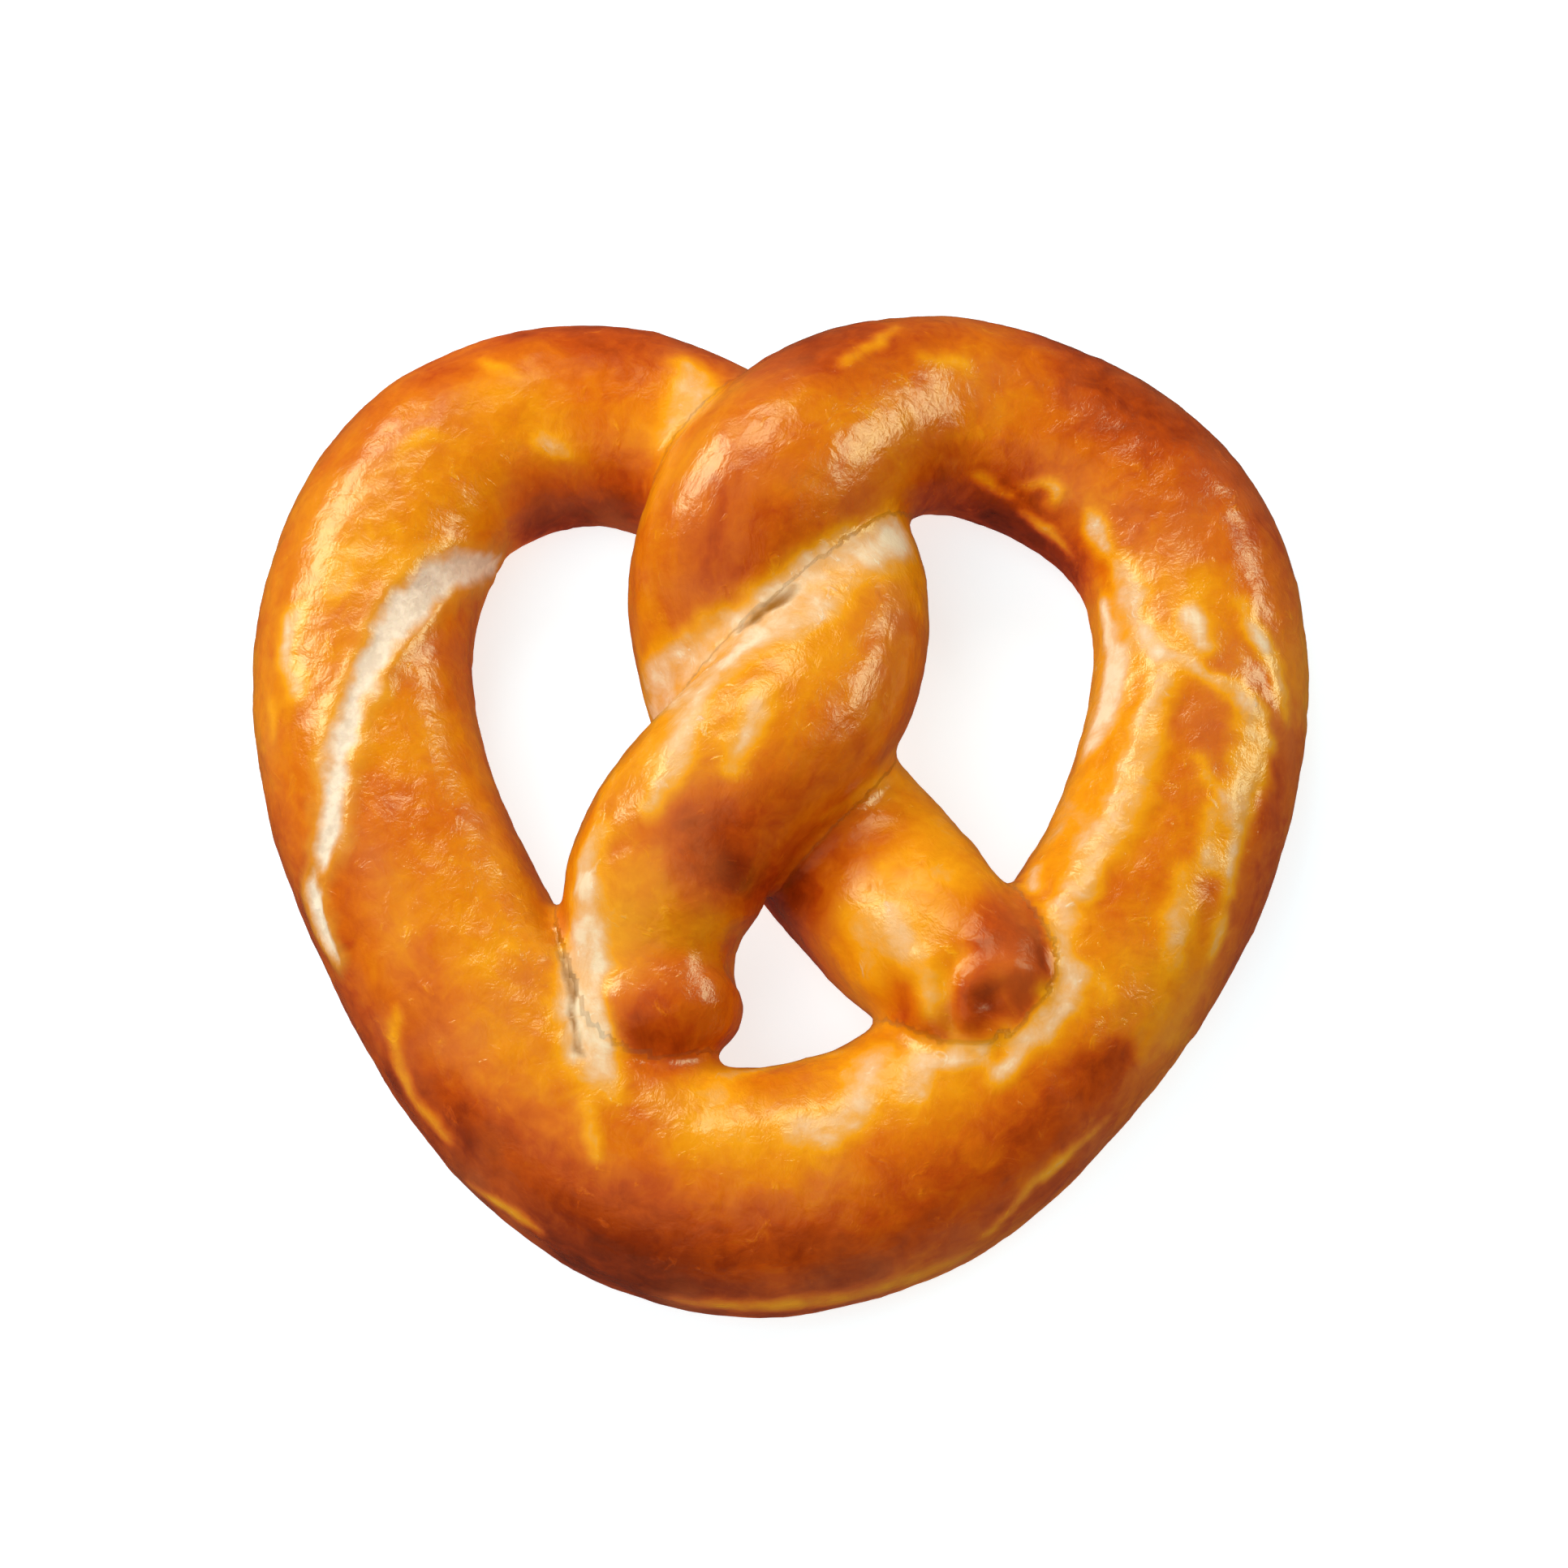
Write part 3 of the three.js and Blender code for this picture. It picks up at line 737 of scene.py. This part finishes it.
crustLook = {
    "bakes": [
        (0.00, (0.84, 0.67, 0.42)),
        (0.10, (0.79, 0.46, 0.20)),
        (0.19, (0.81, 0.37, 0.065)),
        (0.28, (0.86, 0.33, 0.004)),
        (0.42, (0.76, 0.230, 0.002)),
        (0.56, (0.66, 0.139, 0.002)),
        (0.70, (0.50, 0.065, 0.002)),
        (0.84, (0.28, 0.026, 0.001)),
        (1.00, (0.11, 0.009, 0.001)),
    ],
    "clouding": 0.42,  # how much each pattern changes the browning
    "mottling": 0.32,
    "freckling": 0.08,
    "flaking": 0.16,
    "flakeEdge": (0.60, 0.78),
    "blush": (0.58, 0.14, 0.03, 1.0),
    "blushShare": 0.4,
    "blushEdge": (0.48, 0.72),
    "blushFrom": (0.25, 0.5),  # the browning at which it sets in
    "crumb": (0.88, 0.73, 0.53, 1.0),
    "crumbShade": (0.74, 0.59, 0.42, 1.0),
    "crumbEdge": (0.42, 0.58),
    "burstRag": 2.0,
    "burstEdge": (-1.0, 1.0),
    "rim": (0.80, 0.38, 0.03, 1.0),  # golden crust round the burst
    "rimShare": 0.55,
    "rimReach": (0.2, 3.4),
    # painted shade: the dark line in the creases and where one strand lies against another
    "crease": (0.27, 0.095, 0.004, 1.0),
    "creaseShare": 0.95,
    "creaseEdge": (-0.35, 0.9),
    "seamShare": 0.7,
    "seamEdge": (-0.2, 0.4),
    "seamFrom": (0.08, 0.3),  # pale dough in a seam gets no painted shade line
    "seamRag": 0.15,
    "glaze": (0.86, 1.0, 0.58, 1.0),
    "glazeLevel": 0.8,
    "roughness": 0.23,
    "roughnessSwing": 0.15,
    "dryRoughness": 0.8,
    "dryLevel": 0.12,
    "dryBelow": (0.04, 0.24),  # browning under which the dough has no glaze
    "dryFoot": (0.003, 0.015),  # heights in m over which the glaze begins
    "bumpStrength": 0.6,
    "bumpDistance": 0.0005,
    "skinBump": 0.6,  # shares of that distance
    "grainBump": 0.1,
    "flakeBump": 0.2,
    "crumbBump": 0.45,
    "burstSink": 0.3,
    "scatter": 0.05,  # subsurface weight, radius and scale
    "scatterRadius": (1.0, 0.35, 0.05),
    "scatterScale": 0.002,
    "patterns": {  # noise scales per metre
        "clouds": {"Scale": 75, "Detail": 3, "Roughness": 0.6, "Distortion": 0.5},
        "mottle": {"Scale": 240, "Detail": 4, "Roughness": 0.62, "Distortion": 0.8},
        "freckles": {"Scale": 900, "Detail": 3, "Roughness": 0.6},
        "flakes": {"Scale": 300, "Detail": 4, "Roughness": 0.66, "Distortion": 1.0},
        "blush": {"Scale": 60},
        "rag": {"Scale": 330, "Detail": 3, "Roughness": 0.6},
        "crumb": {"Scale": 620, "Detail": 4, "Roughness": 0.62},
        "tearing": {"Scale": 260, "Detail": 3, "Roughness": 0.6},
        "grain": {"Scale": 2200, "Detail": 3, "Roughness": 0.6},
        "skin": {"Scale": 420, "Detail": 4, "Roughness": 0.6, "Distortion": 0.5},
    },
}


def crustMaterial():
    material = bpy.data.materials.new("bakedCrust")
    material.use_nodes = True
    tree = material.node_tree
    tree.nodes.clear()
    make = NodeMaker(tree)
    look = crustLook
    place = make.node("ShaderNodeTexCoord")["Object"]

    def measured(name, output="Fac"):
        return make.node("ShaderNodeAttribute", {"attribute_name": name})[output]

    def pattern(name, vector=place):
        return make.noise(vector, look["patterns"][name])

    ropePlace = measured("ropePlace", "Vector")
    mottle = pattern("mottle", ropePlace) - 0.5
    flakes = pattern("flakes", ropePlace).fade(*look["flakeEdge"])
    clouds = pattern("clouds") - 0.5
    freckles = pattern("freckles") - 0.5
    browning = measured("browning") + clouds * look["clouding"] + mottle * look["mottling"]
    browning = browning + freckles * look["freckling"] - flakes * look["flaking"]
    colour = make.node("ShaderNodeValToRGB", {"stops": look["bakes"]}, (browning,))[0]
    blush = pattern("blush").fade(*look["blushEdge"]) * browning.fade(*look["blushFrom"])
    colour = make.mixColour(blush * look["blushShare"], colour, look["blush"])

    rag = (pattern("rag") - 0.5) * look["burstRag"]
    burst = measured("bursts") + rag
    opened = 1.0 - burst.fade(*look["burstEdge"])
    crumbGrain = pattern("crumb") * 0.5 + pattern("tearing", ropePlace) * 0.5
    crumb = make.mixColour(crumbGrain.fade(*look["crumbEdge"]), look["crumbShade"], look["crumb"])
    rim = (1.0 - burst.fade(*look["rimReach"])) * look["rimShare"]
    colour = make.mixColour(rim, colour, look["rim"])
    colour = make.mixColour(opened, colour, crumb)

    # painted shade, darker in the creases and where the strands touch
    seamRag = rag * look["seamRag"]
    crease = 1.0 - (measured("creases") + seamRag).fade(*look["creaseEdge"])
    seam = 1.0 - (measured("strandGap") + seamRag).fade(*look["seamEdge"])
    seam = seam * browning.fade(*look["seamFrom"])
    shade = (crease * look["creaseShare"]).most(seam * look["seamShare"])
    colour = make.mixColour(shade, colour, look["crease"])

    height = make.separated(place)["Z"]
    pale = 1.0 - browning.fade(*look["dryBelow"])
    foot = 1.0 - height.fade(*look["dryFoot"])
    unglazed = pale.most(opened).most(crease).most(foot).most(measured("dull"))
    texture = pattern("skin", ropePlace) * look["skinBump"] + pattern("grain") * look["grainBump"]
    texture = texture + flakes * look["flakeBump"]
    texture = texture + opened * (crumbGrain * look["crumbBump"] - look["burstSink"])
    inputs = {"Strength": look["bumpStrength"], "Distance": look["bumpDistance"], "Height": texture}
    bump = make.node("ShaderNodeBump", None, inputs)[0]

    def finish(roughness, level):
        return make.node("ShaderNodeBsdfPrincipled", None, {
            "Base Color": colour, "Normal": bump, "Roughness": roughness,
            "Specular IOR Level": level, "Specular Tint": look["glaze"],
            "Subsurface Weight": look["scatter"], "Subsurface Radius": look["scatterRadius"],
            "Subsurface Scale": look["scatterScale"],
        })[0]

    glazed = finish(look["roughness"] + mottle * look["roughnessSwing"], look["glazeLevel"])
    dry = finish(look["dryRoughness"], look["dryLevel"])
    surface = make.node("ShaderNodeMixShader", None, (unglazed, glazed, dry))[0]
    make.node("ShaderNodeOutputMaterial", None, {"Surface": surface})
    return material


crustSurface = crustMaterial()
crustMesh = fuseRope(sweepRope(crustSurface))
print("rope fused:", len(crustMesh.polygons), "faces")
measureCrust(crustMesh)
print("marks measured")
crustPiece = newPiece("baseCrust", crustMesh)
runTree(crustPiece, reliefTree(), {
    "Burst Depth": relief["burstDepth"], "Lip Height": relief["lipHeight"],
    "Crease Depth": relief["creaseDepth"], "Unevenness": relief["unevenness"],
    "Wrinkles": relief["wrinkles"], "Crinkles": relief["crinkles"],
    "Fusing": relief["fusingRounds"], "Surface": crustSurface,
})
crust = newPiece("pretzelCrust", plainMesh(crustPiece, "pretzelCrust"))
crust.data.shade_smooth()
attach(crust, "root")
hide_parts("pretzel")
print("crust raised:", len(crust.data.polygons), "faces")


studio = {
    "floor": (0.40, 0.53, 0.58, 1.0),
    "floorHalf": 2.5,
    "floorRoughness": 0.9,
    "floorSpecular": 0.1,
    "floorGlow": 0.74,
    "glowColour": (0.98, 1.0, 1.0, 1.0),
    "elevation": 70,
    "distance": 650,
    "target": (-0.1, 2.7, 0),
    "aside": (0.6, 3.9),  # the camera's shift to its right and up, in mm
    "lens": 110.5,
    "sensor": 36,
    "world": 0.04,
    "lamps": [  # name, place in m, size in m, watts
        ("backLeft", (-0.61, 0.54, 0.57), (0.50, 0.34), 4.4),
        ("backRight", (0.76, 0.36, 0.55), (0.52, 0.28), 3.3),
        ("back", (-0.10, 0.70, 0.72), (0.32, 0.34), 2.0),
    ],
    "fill": ("fill", (-0.5, -0.3, 0.98), (1.2, 1.2), 11.2),  # lights the crust without showing in its glaze
}


def layFloor():
    mesh = bpy.data.meshes.new("floor")
    reach = studio["floorHalf"]
    corners = [(-reach, -reach, 0), (reach, -reach, 0), (reach, reach, 0), (-reach, reach, 0)]
    mesh.from_pydata(corners, [], [(0, 1, 2, 3)])
    material = bpy.data.materials.new("paleFloor")
    material.use_nodes = True
    sockets = material.node_tree.nodes["Principled BSDF"].inputs
    sockets["Base Color"].default_value = studio["floor"]
    sockets["Roughness"].default_value = studio["floorRoughness"]
    sockets["Specular IOR Level"].default_value = studio["floorSpecular"]
    sockets["Emission Color"].default_value = studio["glowColour"]
    sockets["Emission Strength"].default_value = studio["floorGlow"]
    mesh.materials.append(material)
    return newPiece("floor", mesh)


def setCamera():
    tilt = math.radians(studio["elevation"])
    back = Vector((0, -math.cos(tilt), math.sin(tilt)))
    up = Vector((0, math.sin(tilt), math.cos(tilt)))
    right, upward = studio["aside"]
    camera = newPiece("camera", bpy.data.cameras.new("camera"))
    camera.data.lens = studio["lens"]
    camera.data.sensor_width = studio["sensor"]
    camera.location = Vector(studio["target"]) + back * studio["distance"] + up * upward
    camera.location.x += right
    camera.location *= mm
    camera.rotation_euler = (math.pi / 2 - tilt, 0, 0)
    bpy.context.scene.camera = camera


def hangLamp(name, place, size, power):  # a soft box turned towards the pretzel
    lamp = newPiece(name, bpy.data.lights.new(name, "AREA"))
    lamp.data.shape = "RECTANGLE"
    lamp.data.size, lamp.data.size_y = size
    lamp.data.energy = power
    lamp.location = place
    lamp.rotation_euler = (-lamp.location).to_track_quat("-Z", "Y").to_euler()
    return lamp


floor = layFloor()
setCamera()
for lamp in studio["lamps"]:
    hangLamp(*lamp)
fill = hangLamp(*studio["fill"])
for unseen in (fill, floor):  # neither shows in the glaze, which keeps its colour deep
    unseen.visible_glossy = False

world = bpy.data.worlds.new("studio")
world.use_nodes = True
world.node_tree.nodes["Background"].inputs["Color"].default_value = (1, 1, 1, 1)
world.node_tree.nodes["Background"].inputs["Strength"].default_value = studio["world"]
bpy.context.scene.world = world
bpy.context.scene.view_settings.view_transform = "Standard"
print("studio lit")
